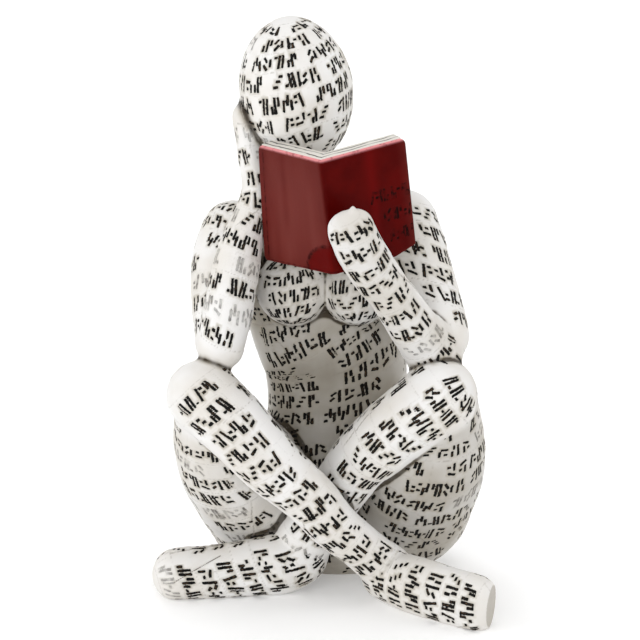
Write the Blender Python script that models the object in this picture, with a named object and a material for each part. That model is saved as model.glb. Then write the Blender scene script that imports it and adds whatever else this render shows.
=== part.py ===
"""Reading girl statue: a seated cast figure with crossed legs that holds an open book.

The figure's pose and proportions are shares of its own height. The book is a casting
of its own, set into the figure's left hand with a small clearance. The whole stands on
the floor plane with the middle of its footprint at the origin.
"""

import math

import bpy
import bmesh
from mathutils import Matrix, Vector

# Driving dimensions, in metres
FIGURE_HEIGHT = 0.2015       # floor to the top of the head
BOOK_HEIGHT = 0.0397         # along the spine
BOARD_LENGTH = 0.0313        # from the spine to a board's free edge
BOARD_THICKNESS = 0.0014
BOARD_CORNER = 0.0022        # radius of a board's outer corners
SPINE_ROUND = 0.0024         # how far the spine's rounding reaches along each board
PAGES_THICKNESS = 0.0048     # each half of the page block
PAGES_INSET = 0.0013         # how far the boards stand past the pages
BOOK_CLEARANCE = 0.0003      # between the book and the hand that holds it
SURFACE_GRAIN = 0.0013       # grid on which the limbs are fused

# The pose is drawn for this height, in shares that are millimetres at the real size
DESIGN_HEIGHT = 201.5
SHARE = FIGURE_HEIGHT / DESIGN_HEIGHT
AROUND = 28                  # points in a limb's ring
STEP = 3.0                   # shares between a limb's rings
CAP_ANGLES = (24, 42, 60, 78)    # degrees at which a limb's rounded end has its rings
EGG_AROUND = 32              # points in an egg's ring
EGG_RINGS = 20
SPINE_POINTS = 4             # flats in the spine's rounding
CORNER_ANGLES = (0, 30, 60, 90)  # degrees at which a board's corner has its points
SOFTENING = 7                # rounds of smoothing where limbs meet
KEPT_TRIANGLES = 0.068       # share of the fused surface's triangles that is kept
FLOOR_DEPTH = 15.0           # shares of the block that cuts the underside flat

FACING = Vector((0.0, -1.0, 0.0))

# Each station: x, y, z of the centre line, half width, half depth, all in shares
TORSO = [
    (7.0, 42.0, 17.0, 36.0, 22.0),
    (7.0, 42.0, 34.0, 33.0, 21.0),
    (6.0, 41.0, 48.0, 27.0, 18.0),
    (6.2, 38.0, 64.0, 24.7, 15.5),
    (5.2, 35.0, 80.0, 25.7, 15.5),
    (0.5, 31.5, 94.0, 25.5, 16.5),
    (-0.5, 28.5, 108.0, 28.0, 16.0),
    (-0.5, 27.5, 120.0, 29.5, 14.0),
    (-0.5, 27.0, 129.0, 27.0, 12.3),
]
SHOULDERS = [
    (-27.5, 26.5, 125.0, 10.8, 10.5),
    (-12.0, 28.5, 131.0, 10.5, 11.0),
    (-0.5, 29.0, 133.0, 11.0, 11.5),
    (12.0, 28.5, 132.5, 10.5, 11.0),
    (27.0, 26.5, 128.0, 10.8, 10.5),
]
NECK = [
    (-0.5, 28.0, 130.0, 12.0, 11.0),
    (-3.0, 20.5, 144.0, 9.0, 9.0),
    (-5.0, 13.5, 158.0, 8.5, 9.5),
]
RIGHT_UPPER_ARM = [
    (-30.0, 25.5, 125.5, 11.5, 11.5),
    (-33.0, 18.0, 116.5, 11.3, 11.0),
    (-34.0, 6.0, 104.0, 10.0, 10.0),
    (-34.0, -3.0, 93.0, 8.5, 8.5),
]
RIGHT_FOREARM = [
    (-33.5, -7.0, 92.5, 8.1, 8.5),
    (-31.0, -7.0, 104.0, 8.4, 9.0),
    (-27.5, -2.0, 122.0, 7.9, 8.5),
    (-21.5, 3.0, 142.0, 5.4, 6.5),
    (-23.0, 5.0, 155.0, 4.8, 7.5),
    (-25.0, 7.0, 168.5, 4.7, 7.5),
]
LEFT_UPPER_ARM = [
    (29.0, 25.0, 129.0, 12.0, 12.0),
    (33.5, 19.0, 116.5, 11.6, 11.0),
    (38.0, 13.0, 104.0, 10.7, 10.0),
    (41.5, 8.0, 92.5, 10.0, 9.5),
]
LEFT_FOREARM = [
    (39.5, 5.0, 87.0, 10.0, 9.0),
    (32.0, -5.0, 98.0, 8.6, 8.0),
    (25.5, -12.5, 108.5, 7.8, 7.5),
    (19.0, -20.5, 119.0, 7.9, 7.0),
    (12.7, -28.5, 129.5, 8.1, 6.5),
    (9.5, -34.0, 138.0, 7.7, 5.5),
]
RIGHT_THIGH = [
    (-16.5, 42.0, 22.0, 25.5, 24.0),
    (-31.0, 17.0, 47.0, 19.8, 19.5),
    (-36.5, -4.0, 69.0, 13.7, 14.0),
    (-39.0, -10.0, 75.5, 12.1, 12.2),
]
RIGHT_SHIN = [
    (-39.5, -12.0, 76.5, 12.3, 12.5),
    (-30.5, -14.0, 68.5, 11.8, 12.0),
    (-17.0, -14.0, 53.5, 10.5, 10.5),
    (-4.5, -12.0, 41.5, 9.5, 9.5),
    (4.5, -9.0, 30.5, 8.7, 8.6),
    (14.5, -4.0, 20.5, 7.9, 8.0),
    (23.5, 0.0, 11.5, 8.9, 8.5),
]
RIGHT_FOOT = [
    (22.5, 1.0, 9.5, 9.0, 8.5),
    (31.0, -8.0, 9.0, 10.0, 8.5),
    (41.0, -17.0, 8.5, 10.5, 8.0),
    (53.0, -26.5, 8.0, 10.1, 7.5),
]
LEFT_THIGH = [
    (30.0, 42.0, 22.5, 24.5, 23.5),
    (36.5, 18.0, 48.0, 22.3, 20.5),
    (40.0, 4.0, 67.0, 15.5, 15.0),
    (41.0, -1.0, 73.5, 13.3, 13.2),
]
LEFT_SHIN = [
    (40.5, -4.0, 74.0, 13.1, 13.0),
    (31.5, -4.0, 67.5, 12.3, 12.0),
    (21.5, -1.0, 58.0, 11.6, 11.5),
    (12.5, 3.0, 48.0, 10.7, 10.5),
    (3.0, 8.0, 32.5, 9.8, 9.5),
    (-7.0, 11.5, 15.5, 10.2, 9.5),
]
LEFT_FOOT = [
    (-7.0, 11.0, 12.5, 10.2, 10.0),
    (-13.5, 9.0, 10.5, 10.8, 9.5),
    (-23.0, 8.0, 9.5, 10.2, 9.0),
    (-35.0, 6.5, 8.5, 9.6, 8.5),
    (-50.3, 5.0, 8.0, 9.4, 8.5),
]
LIMBS = [
    TORSO, SHOULDERS, NECK,
    RIGHT_UPPER_ARM, RIGHT_FOREARM, LEFT_UPPER_ARM, LEFT_FOREARM,
    RIGHT_THIGH, RIGHT_SHIN, RIGHT_FOOT, LEFT_THIGH, LEFT_SHIN, LEFT_FOOT,
]

# Egg shapes: centre, upward axis, half width, half depth, half height, taper, in shares
HEAD = ((-7.9, 8.0, 176.7), (-0.15, -0.16, 1.0), 19.3, 21.5, 25.3, 0.06)
RIGHT_BREAST = ((-9.5, 15.0, 108.0), (0.0, 0.0, 1.0), 12.7, 12.7, 12.7, 0.0)
LEFT_BREAST = ((13.0, 14.5, 108.0), (0.0, 0.0, 1.0), 12.7, 12.7, 12.7, 0.0)
EGGS = [HEAD, RIGHT_BREAST, LEFT_BREAST]

# The book's place in the left hand: the middle of its spine, in shares, and its turns
SPINE_CENTRE = Vector((2.3, -27.0, 139.2))
BOOK_PITCH = math.radians(12.0)      # the top leans away from the reader
BOOK_ROLL = math.radians(4.0)
BOOK_YAW = math.radians(-12.4)
LEFT_OPENING = (math.radians(61.0), math.radians(54.0))    # at the book's foot and head
RIGHT_OPENING = (math.radians(51.0), math.radians(51.0))


def clear_scene():
    """Remove whatever the scene holds."""
    for thing in list(bpy.data.objects):
        bpy.data.objects.remove(thing, do_unlink=True)


def new_material(name, colour, roughness):
    """A plain finish with one colour."""
    material = bpy.data.materials.new(name)
    material.use_nodes = True
    shader = material.node_tree.nodes["Principled BSDF"]
    shader.inputs["Base Color"].default_value = (*colour, 1.0)
    shader.inputs["Roughness"].default_value = roughness
    shader.inputs["Metallic"].default_value = 0.0
    return material


def new_object(name, shell, material=None):
    """Put a bmesh into a new object of the scene."""
    mesh = bpy.data.meshes.new(name)
    bmesh.ops.recalc_face_normals(shell, faces=shell.faces)
    shell.to_mesh(mesh)
    shell.free()
    thing = bpy.data.objects.new(name, mesh)
    bpy.context.collection.objects.link(thing)
    if material:
        mesh.materials.append(material)
    return thing


def new_cutter(name, shell):
    """An object that only shapes others."""
    cutter = new_object(name, shell)
    cutter.hide_render = True
    cutter.display_type = "WIRE"
    return cutter


def add_boolean(thing, other, operation):
    """Cut or join another object's solid."""
    step = thing.modifiers.new(other.name, "BOOLEAN")
    step.operation = operation
    step.object = other
    step.solver = "EXACT"


def loft(shell, rings):
    """Close a skin over equal rings of vertices, with a flat face at either end."""
    for low, high in zip(rings, rings[1:]):
        for k in range(len(low)):
            n = (k + 1) % len(low)
            shell.faces.new((low[k], low[n], high[n], high[k]))
    shell.faces.new(rings[0][::-1])
    shell.faces.new(rings[-1])


def smooth_path(stations):
    """Stations about one step apart on a Catmull-Rom curve through the given ones."""
    rows = [Vector(station) for station in stations]
    rows = [rows[0] * 2 - rows[1]] + rows + [rows[-1] * 2 - rows[-2]]
    path = []
    for before, start, end, after in zip(rows, rows[1:], rows[2:], rows[3:]):
        length = (Vector(end[:3]) - Vector(start[:3])).length
        pieces = max(2, round(length / STEP))
        for k in range(pieces):
            t = k / pieces
            path.append(0.5 * (
                2 * start + (end - before) * t
                + (2 * before - 5 * start + 4 * end - after) * t ** 2
                + (3 * start - before - 3 * end + after) * t ** 3))
    return path + [rows[-2]]


def limb(shell, stations):
    """A limb of oval section along its stations, with rounded ends."""
    path = smooth_path(stations)
    centres = [Vector(station[:3]) for station in path]
    last = len(path) - 1
    rings = []
    for k, station in enumerate(path):
        along = (centres[min(k + 1, last)] - centres[max(k - 1, 0)]).normalized()
        deep = (FACING - along * FACING.dot(along)).normalized()
        wide = along.cross(deep)
        reach = min(station[3], station[4])
        lifts = [0]
        if k == 0:
            lifts = [-lift for lift in reversed(CAP_ANGLES)] + lifts
        if k == last:
            lifts += CAP_ANGLES
        for lift in lifts:
            angle = math.radians(lift)
            middle = centres[k] + along * (reach * math.sin(angle))
            rings.append([
                shell.verts.new((
                    middle
                    + wide * (station[3] * math.cos(angle) * math.cos(turn))
                    + deep * (station[4] * math.cos(angle) * math.sin(turn))) * SHARE)
                for turn in (2 * math.pi * n / AROUND for n in range(AROUND))])
    loft(shell, rings)


def egg(shell, centre, axis, half_width, half_depth, half_height, taper):
    """An egg that narrows towards its lower end."""
    up = Vector(axis).normalized()
    deep = (FACING - up * FACING.dot(up)).normalized()
    turn = Matrix((up.cross(deep), deep, up)).transposed()
    made = bmesh.ops.create_uvsphere(shell, u_segments=EGG_AROUND, v_segments=EGG_RINGS, radius=1.0)
    for vert in made["verts"]:
        x, y, z = vert.co
        below = (1.0 - z) / 2
        narrow = 1.0 - taper * below ** 2
        local = Vector((x * half_width * narrow, y * half_depth * narrow, z * half_height))
        vert.co = (Vector(centre) + turn @ local) * SHARE


def board_axes(opening, side):
    """A board's own directions in the book's plan: out along it and in towards the pages."""
    out = Vector((side * math.sin(opening), math.cos(opening)))
    inward = Vector((-side * math.cos(opening), math.sin(opening)))
    return out, inward


def gutter(axes, depth):
    """Where the two inner faces meet that lie at a depth from the boards' outer faces."""
    (_, left), (_, right) = axes
    area = left.x * right.y - left.y * right.x
    return Vector(((right.y - left.y) * depth / area, (left.x - right.x) * depth / area))


def folded_slab(openings, length, outer, inner, rounding):
    """Plan of a slab that is folded at the spine, from one depth to another below the boards."""
    axes = [board_axes(opening, side) for opening, side in zip(openings, (-1, 1))]
    (left, left_in), (right, right_in) = axes
    fold = gutter(axes, outer)
    start = left * rounding + left_in * outer
    end = right * rounding + right_in * outer
    points = []
    for k in range(SPINE_POINTS + 1):
        t = k / SPINE_POINTS
        points.append(start * (1 - t) ** 2 + fold * (2 * t * (1 - t)) + end * t ** 2)
    points += [right * length + right_in * outer, right * length + right_in * inner]
    points.append(gutter(axes, inner))
    points += [left * length + left_in * inner, left * length + left_in * outer]
    return points


def book_levels(half_height, corner, shell, outline):
    """Rings of the book from its foot to its head, shortened round the corners."""
    turn = (Matrix.Rotation(BOOK_YAW, 3, "Z") @ Matrix.Rotation(BOOK_PITCH, 3, "X")
            @ Matrix.Rotation(-BOOK_ROLL, 3, "Y"))
    lifts = [math.radians(a) for a in reversed(CORNER_ANGLES)] if corner else [0.0]
    levels = [(-half_height + corner * (1 - math.sin(a)), corner * (1 - math.cos(a))) for a in lifts]
    levels += [(-height, short) for height, short in reversed(levels)]
    rings = []
    for height, short in levels:
        mix = 0.5 + height / BOOK_HEIGHT
        openings = [foot + (head - foot) * mix for foot, head in (LEFT_OPENING, RIGHT_OPENING)]
        rings.append([
            shell.verts.new(SPINE_CENTRE * SHARE + turn @ Vector((p.x, p.y, height)))
            for p in outline(openings, short)])
    loft(shell, rings)
    bmesh.ops.recalc_face_normals(shell, faces=shell.faces)
    bmesh.ops.triangulate(shell, faces=shell.faces)


def build_boards(shell):
    """Both boards and the spine, with rounded corners."""
    def outline(openings, short):
        return folded_slab(openings, BOARD_LENGTH - short, 0.0, BOARD_THICKNESS, SPINE_ROUND)
    book_levels(BOOK_HEIGHT / 2, BOARD_CORNER, shell, outline)


def build_pages(shell):
    """The page block, sunk a little into the boards."""
    bite = BOARD_THICKNESS * 0.5
    inner = BOARD_THICKNESS + PAGES_THICKNESS

    def outline(openings, short):
        return folded_slab(openings, BOARD_LENGTH - PAGES_INSET - short, bite, inner, SPINE_ROUND)
    book_levels(BOOK_HEIGHT / 2 - PAGES_INSET, 0.0, shell, outline)


def build_book_room(shell):
    """The room that the book takes up, with its clearance all round."""
    inner = BOARD_THICKNESS + PAGES_THICKNESS + BOOK_CLEARANCE

    def outline(openings, short):
        return folded_slab(openings, BOARD_LENGTH + BOOK_CLEARANCE - short, -BOOK_CLEARANCE, inner, SPINE_ROUND)
    book_levels(BOOK_HEIGHT / 2 + BOOK_CLEARANCE, 0.0, shell, outline)


def make_figure(material):
    """The figure: limbs fused into one skin, cut flat below and where the book sits."""
    skin = bmesh.new()
    for stations in LIMBS:
        limb(skin, stations)
    for shape in EGGS:
        egg(skin, *shape)
    figure = new_object("reading_girl", skin, material)

    fuse = figure.modifiers.new("fuse limbs", "REMESH")
    fuse.mode = "VOXEL"
    fuse.voxel_size = SURFACE_GRAIN
    soften = figure.modifiers.new("soften joins", "SMOOTH")
    soften.iterations = SOFTENING
    thin = figure.modifiers.new("thin mesh", "DECIMATE")
    thin.ratio = KEPT_TRIANGLES
    thin.use_collapse_triangulate = True

    floor = bmesh.new()
    side = 2 * DESIGN_HEIGHT * SHARE
    bmesh.ops.create_cube(floor, size=1.0)
    bmesh.ops.scale(floor, vec=(side, side, FLOOR_DEPTH * SHARE), verts=floor.verts)
    bmesh.ops.translate(floor, vec=(0.0, 0.0, -FLOOR_DEPTH * SHARE / 2), verts=floor.verts)
    add_boolean(figure, new_cutter("floor", floor), "DIFFERENCE")

    room = bmesh.new()
    build_book_room(room)
    add_boolean(figure, new_cutter("book_room", room), "DIFFERENCE")
    return figure


def make_book(material):
    """The open book: boards and page block as one casting."""
    boards = bmesh.new()
    build_boards(boards)
    book = new_object("open_book", boards, material)
    pages = bmesh.new()
    build_pages(pages)
    add_boolean(book, new_cutter("page_block", pages), "UNION")
    return book


def centre_on_footprint(things):
    """Hang everything on one empty that puts the middle of the outer size over the origin."""
    graph = bpy.context.evaluated_depsgraph_get()
    corners = []
    for thing in things:
        corners += [Vector(corner) for corner in thing.evaluated_get(graph).bound_box]
    low = Vector([min(corner[k] for corner in corners) for k in range(2)])
    high = Vector([max(corner[k] for corner in corners) for k in range(2)])
    middle = (low + high) / 2
    stand = bpy.data.objects.new("statue", None)
    bpy.context.collection.objects.link(stand)
    for thing in bpy.data.objects:
        if thing.type == "MESH":
            thing.parent = stand
    stand.location = (-middle.x, -middle.y, 0.0)


def main():
    clear_scene()
    resin = new_material("white_resin", (0.82, 0.81, 0.79), 0.6)
    paint = new_material("red_paint", (0.27, 0.01, 0.01), 0.25)
    figure = make_figure(resin)
    book = make_book(paint)
    centre_on_footprint([figure, book])


if __name__ == "__main__":
    main()
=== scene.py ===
# Reading girl statue: the skin, the marks and the book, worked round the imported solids

import math

import bmesh
import bpy
import numpy as np
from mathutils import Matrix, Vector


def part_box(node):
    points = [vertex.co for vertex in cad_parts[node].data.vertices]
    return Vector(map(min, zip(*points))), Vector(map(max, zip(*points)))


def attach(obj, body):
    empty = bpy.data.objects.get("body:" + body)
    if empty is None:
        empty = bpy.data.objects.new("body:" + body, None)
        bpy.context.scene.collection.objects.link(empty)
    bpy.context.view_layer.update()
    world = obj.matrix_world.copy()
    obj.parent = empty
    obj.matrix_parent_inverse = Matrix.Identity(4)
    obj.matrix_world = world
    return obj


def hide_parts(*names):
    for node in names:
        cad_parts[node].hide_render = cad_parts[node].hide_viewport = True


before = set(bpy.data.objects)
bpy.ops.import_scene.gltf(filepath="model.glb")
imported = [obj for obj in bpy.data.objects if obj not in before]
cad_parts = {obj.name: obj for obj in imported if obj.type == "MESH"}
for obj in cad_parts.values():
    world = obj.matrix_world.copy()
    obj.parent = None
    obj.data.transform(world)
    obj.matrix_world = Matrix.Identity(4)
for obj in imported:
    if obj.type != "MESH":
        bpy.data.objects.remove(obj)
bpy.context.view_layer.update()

mm = 0.001
facing = np.array([0.0, -1.0, 0.0])   # the way the figure looks
nowhere = 3.0                         # mm, a distance that counts as far from any stroke

# The pose, drawn in millimetres for a figure of drawnHeight.
drawnHeight = 201.5
figure = {
    "grain": 0.95,          # mm, the grid on which the limbs are fused
    "softening": 12,        # rounds of smoothing over the joins
    "tubeStep": 2.5,        # mm between a limb's rings
    "around": 48,           # points in a limb's ring
    "endLifts": (18, 36, 54, 70, 82),   # degrees, the rings of a limb's round end
    "eggRings": 44,
    "eggAround": 72,
    "probeStep": 1.2,       # mm between the points that measure a limb
}
# How rows of marks lie on a limb that doesn't say otherwise
rowStyle = {
    "pitch": 7.5,           # mm from row to row
    "first": 0.0,           # mm along the limb, where the first row starts
    "tilt": 0.0,            # degrees, rising towards the figure's left
    "size": 1.0,            # of a mark
    "word": 5.5,            # cells in a word's room
    "count": (4, 5),        # marks in a word
    "centred": False,       # words centred on the front or not
    "room": (-60.0, 1.5),   # mm without marks at both ends
    "faint": 0.04,          # share of faint words
    "shadeAndWash": 0.12,           # grey wash everywhere; also a limb's painted shade where it faces front, if it gives none
}
# Each station of a limb: x, y, z of its centre line, half width, half depth. rowsOf names the limb whose rows
# run on over this one.
limbs = {
    "torso": {"pitch": 6.2, "tilt": 13, "first": 1.0, "size": 0.9, "word": 6.6, "count": (4, 6), "shadeAndWash": 0.95,
              "room": (-60.0, -14.0), "path": [
        (7.0, 42.0, 17.0, 36.0, 22.0), (7.0, 42.0, 34.0, 33.0, 21.0), (6.0, 41.0, 48.0, 27.0, 18.0),
        (6.2, 38.0, 64.0, 24.7, 15.5), (5.2, 35.0, 80.0, 25.7, 15.5), (0.5, 31.5, 94.0, 25.5, 16.5),
        (-0.5, 28.5, 108.0, 28.0, 16.0), (-0.5, 27.5, 120.0, 29.5, 14.0), (-0.5, 27.0, 129.0, 27.0, 12.3)]},
    "shoulders": {"rowsOf": "torso", "path": [
        (-27.5, 26.5, 125.0, 10.8, 10.5), (-12.0, 28.5, 131.0, 10.5, 11.0), (-0.5, 29.0, 133.0, 11.0, 11.5),
        (12.0, 28.5, 132.5, 10.5, 11.0), (27.0, 26.5, 128.0, 10.8, 10.5)]},
    "neck": {"pitch": 7.0, "tilt": 10, "first": 2.0, "shadeAndWash": 0.35, "path": [
        (-0.5, 28.0, 130.0, 12.0, 11.0), (-3.0, 20.5, 144.0, 9.0, 9.0), (-5.0, 13.5, 158.0, 8.5, 9.5)]},
    "rightUpperArm": {"tilt": -14, "first": 0.5, "room": (-6.0, 0.0), "faint": 0.12, "path": [
        (-30.0, 25.5, 125.5, 11.5, 11.5), (-33.0, 18.0, 116.5, 11.3, 11.0), (-34.0, 6.0, 104.0, 10.0, 10.0),
        (-34.0, -3.0, 93.0, 8.5, 8.5)]},
    "rightForearm": {"tilt": -8, "first": 2.0, "faint": 0.5, "room": (2.0, 4.0), "path": [
        (-33.5, -7.0, 92.5, 8.1, 8.5), (-31.0, -7.0, 104.0, 8.4, 9.0), (-27.5, -2.0, 122.0, 7.9, 8.5),
        (-21.5, 3.0, 142.0, 5.4, 6.5), (-23.0, 5.0, 155.0, 4.8, 7.5), (-25.0, 7.0, 168.5, 4.7, 7.5)]},
    "leftUpperArm": {"tilt": -28, "first": 1.0, "room": (-8.0, 0.0), "path": [
        (29.0, 25.0, 129.0, 12.0, 12.0), (33.5, 19.0, 116.5, 11.6, 11.0), (38.0, 13.0, 104.0, 10.7, 10.0),
        (41.5, 8.0, 92.5, 10.0, 9.5)]},
    "leftForearm": {"pitch": 8.0, "first": 3.1, "word": 5.3, "count": (4, 4), "centred": True, "shadeAndWash": 0.3,
                    "room": (-60.0, -4.0), "path": [
        (39.5, 5.0, 87.0, 10.0, 9.0), (32.0, -5.0, 98.0, 8.6, 8.0), (25.5, -12.5, 108.5, 7.8, 7.5),
        (19.0, -20.5, 119.0, 7.9, 7.0), (12.7, -28.5, 129.5, 8.1, 6.5), (9.5, -34.0, 138.0, 7.7, 5.5)]},
    "rightThigh": {"faint": 0.25, "shadeAndWash": 0.25, "room": (-60.0, 0.0), "path": [
        (-16.5, 42.0, 22.0, 25.5, 24.0), (-31.0, 17.0, 47.0, 19.8, 19.5), (-36.5, -4.0, 69.0, 13.7, 14.0),
        (-39.0, -10.0, 75.5, 12.1, 12.2)]},
    "rightShin": {"tilt": -6, "first": -4.0, "room": (-4.0, -9.0), "centred": True, "count": (4, 4), "path": [
        (-39.5, -12.0, 76.5, 12.3, 12.5), (-30.5, -14.0, 68.5, 11.8, 12.0), (-17.0, -14.0, 53.5, 10.5, 10.5),
        (-4.5, -12.0, 41.5, 9.5, 9.5), (4.5, -9.0, 30.5, 8.7, 8.6), (14.5, -4.0, 20.5, 7.9, 8.0),
        (23.5, 0.0, 11.5, 8.9, 8.5)]},
    "rightFoot": {"pitch": 7.2, "first": 2.0, "room": (-60.0, -4.0), "centred": True, "word": 5.2,
                  "count": (4, 4), "path": [
        (22.5, 1.0, 9.5, 9.0, 8.5), (31.0, -8.0, 9.0, 10.0, 8.5), (41.0, -17.0, 8.5, 10.5, 8.0),
        (53.0, -26.5, 8.0, 10.1, 7.5)]},
    "leftThigh": {"faint": 0.08, "shadeAndWash": 0.75, "room": (-60.0, -8.0), "path": [
        (30.0, 42.0, 22.5, 24.5, 23.5), (36.5, 18.0, 48.0, 22.3, 20.5), (40.0, 4.0, 67.0, 15.5, 15.0),
        (41.0, -1.0, 73.5, 13.3, 13.2)]},
    "leftShin": {"first": -3.0, "room": (-8.0, -9.0), "centred": True, "count": (4, 4), "path": [
        (40.5, -4.0, 74.0, 13.1, 13.0), (31.5, -4.0, 67.5, 12.3, 12.0), (21.5, -1.0, 58.0, 11.6, 11.5),
        (12.5, 3.0, 48.0, 10.7, 10.5), (3.0, 8.0, 32.5, 9.8, 9.5), (-7.0, 11.5, 15.5, 10.2, 9.5)]},
    "leftFoot": {"pitch": 7.2, "first": 1.0, "tilt": 16, "room": (-60.0, -4.0), "centred": True, "word": 5.2,
                 "path": [
        (-7.0, 11.0, 12.5, 10.2, 10.0), (-13.5, 9.0, 10.5, 10.8, 9.5), (-23.0, 8.0, 9.5, 10.2, 9.0),
        (-35.0, 6.5, 8.5, 9.6, 8.5), (-50.3, 5.0, 8.0, 9.4, 8.5)]},
}
# Egg shapes: centre, upward axis, half width, half depth, half height, how much the lower end narrows
eggs = {
    "head": {"pitch": 7.0, "tilt": 6, "first": -29.5, "word": 4.8, "count": (4, 4), "room": (-60.0, 2.5),
             "faint": 0.05, "centre": (-7.9, 8.0, 176.7), "axis": (-0.15, -0.16, 1.0),
             "sizes": (19.3, 21.5, 25.3), "taper": 0.06},
    "rightBreast": {"pitch": 6.2, "tilt": 12, "first": -9.5, "size": 0.9, "centred": True, "shadeAndWash": 0.3,
                    "centre": (-9.5, 15.0, 108.0), "axis": (0.0, 0.0, 1.0),
                    "sizes": (12.7, 12.7, 12.7), "taper": 0.0},
    "leftBreast": {"pitch": 6.2, "tilt": 12, "first": -11.5, "size": 0.9, "centred": True, "shadeAndWash": 0.3,
                   "centre": (13.0, 14.5, 108.0), "axis": (0.0, 0.0, 1.0),
                   "sizes": (12.7, 12.7, 12.7), "taper": 0.0},
}
# Which limbs run on into each other, so that no dark crease lies between them
joined = [
    ("torso", "shoulders"), ("shoulders", "neck"), ("torso", "neck"), ("neck", "head"),
    ("shoulders", "rightUpperArm"), ("shoulders", "leftUpperArm"),
    ("rightUpperArm", "rightForearm"), ("leftUpperArm", "leftForearm"),
    ("rightThigh", "rightShin"), ("rightShin", "rightFoot"),
    ("leftThigh", "leftShin"), ("leftShin", "leftFoot"),
    ("torso", "rightThigh"), ("torso", "leftThigh"), ("rightThigh", "leftThigh"),
    ("torso", "rightBreast"), ("torso", "leftBreast"), ("rightBreast", "leftBreast"),
    ("shoulders", "rightBreast"), ("shoulders", "leftBreast"),
]
# Which limbs each piece of the skin holds
pieces = {
    "skin_head_and_shoulders": ("head", "neck", "shoulders"),
    "skin_torso": ("torso", "rightBreast", "leftBreast"),
    "skin_right_arm": ("rightUpperArm", "rightForearm"),
    "skin_left_arm": ("leftUpperArm", "leftForearm"),
    "skin_right_thigh": ("rightThigh",),
    "skin_right_shin": ("rightShin", "rightFoot"),
    "skin_left_thigh": ("leftThigh",),
    "skin_left_shin": ("leftShin", "leftFoot"),
}
# Pressed marks: plain strokes that stand for the rows on the real skin and spell nothing, in mm.
# thick and thin are half widths, seamRoom keeps marks off the line where a row's ends meet.
marks = {"height": 5.1, "cell": 4.5, "between": 0.3, "depth": 0.34, "edge": 0.22, "wobble": 0.1,
         "wobbleSize": 0.9, "thick": 0.49, "thin": 0.28, "jitter": 5.0, "seamRoom": 1.2, "leastGirth": 4.5,
         "faintness": 0.4, "sway": 0.9, "swaySize": 14.0}
# Torn paper strips under the paint, in mm: steps beside the rows and a few long tears along each limb
strips = {"lift": 0.15, "patch": 27.0, "shift": 40.0, "ramp": 0.5, "line": 0.3,
          "lumps": 0.24, "lumpSize": 9.0, "fine": 0.06, "fineSize": 2.2,
          "tears": 2, "tearLift": 0.14, "tearFade": 5.0, "tearSpread": 44.0, "tearReach": (7.0, 9.0)}
# Painted shade and wash in creases: how far it spreads from a touching limb (mm), hollows found by rounds of
# smoothing the skin, and the rounds that soften the painted shade on front-facing skin
shadeAndWashSpread = {"reach": 4.8, "rounds": 36, "hollow": 0.34, "shadeAndWashRounds": 30}
# Small forms, in mm: the flat end of the front toes, painted darker as shade, a groove over the other foot
# and a nub on the fingertip
toeEnd = {"point": (57.0, -29.0, 8.0), "normal": (0.93, -0.34, -0.06), "fromX": 45.0, "keep": 0.06,
          "shadeAndWash": 0.7}
footGroove = {"from": (-50.0, -6.5, 9.0), "to": (-34.0, 0.5, 17.0), "outward": (0.35, -0.8, 0.5),
              "reach": 6.0, "depth": 0.65, "width": 0.5}
nub = {"place": (10.4, -36.5, 147.0), "width": 1.4, "height": 1.4}


def colour(text):
    # sRGB hex to linear: below 0.04045 divided by 12.92, above it ((c + 0.055) / 1.055) to the power 2.4
    parts = [int(text[k:k + 2], 16) / 255 for k in (1, 3, 5)]
    return [c / 12.92 if c <= 0.04045 else ((c + 0.055) / 1.055) ** 2.4 for c in parts] + [1.0]


def unit(v):
    return v / np.maximum(np.linalg.norm(v, axis=-1, keepdims=True), 1e-12)


def blendStep(low, high, x):
    # 0 below low, 1 above high, and 3t^2 - 2t^3 between them
    t = np.clip((x - low) / (high - low), 0.0, 1.0)
    return t * t * (3.0 - 2.0 * t)


def chance(*keys):
    # a repeatable number from 0 to 1 for whole-number keys: bits mixed by multiplying and shifting
    h = np.full(np.broadcast(*keys).shape, 2166136261, np.uint64)
    for key in keys:
        h = (h ^ (np.asarray(key, np.int64) + 104729).astype(np.uint64)) * np.uint64(16777619)
        h = (h ^ (h >> np.uint64(15))) * np.uint64(2246822519) & np.uint64(0xFFFFFFFF)
        h ^= h >> np.uint64(13)
    return (h & np.uint64(0xFFFFFF)).astype(float) / 0xFFFFFF


def grainNoise(points, size, seed):
    # smooth noise from -1 to 1: chance at the corners of a cubic lattice, blended with 3t^2 - 2t^3
    p = points / size
    cell = np.floor(p).astype(np.int64)
    f = p - cell
    f = f * f * (3.0 - 2.0 * f)
    total = 0.0
    for dx in (0, 1):
        for dy in (0, 1):
            for dz in (0, 1):
                weight = (f[:, 0] if dx else 1 - f[:, 0]) * (f[:, 1] if dy else 1 - f[:, 1])
                weight = weight * (f[:, 2] if dz else 1 - f[:, 2])
                total = total + weight * chance(cell[:, 0] + dx, cell[:, 1] + dy, cell[:, 2] + dz, seed)
    return total * 2.0 - 1.0


def smoothPath(stations, step):
    # Catmull-Rom through the stations: half of 2b + (c-a)t + (2a-5b+4c-d)t^2 + (3b-a-3c+d)t^3
    rows = np.array(stations, float)
    rows = np.vstack([2 * rows[0] - rows[1], rows, 2 * rows[-1] - rows[-2]])
    path = []
    for a, b, c, d in zip(rows, rows[1:], rows[2:], rows[3:]):
        count = max(2, round(float(np.linalg.norm(c[:3] - b[:3])) / step))
        t = (np.arange(count) / count)[:, None]
        path.append(0.5 * (2 * b + (c - a) * t + (2 * a - 5 * b + 4 * c - d) * t ** 2
                           + (3 * b - a - 3 * c + d) * t ** 3))
    return np.vstack(path + [rows[-2:-1]])


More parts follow.
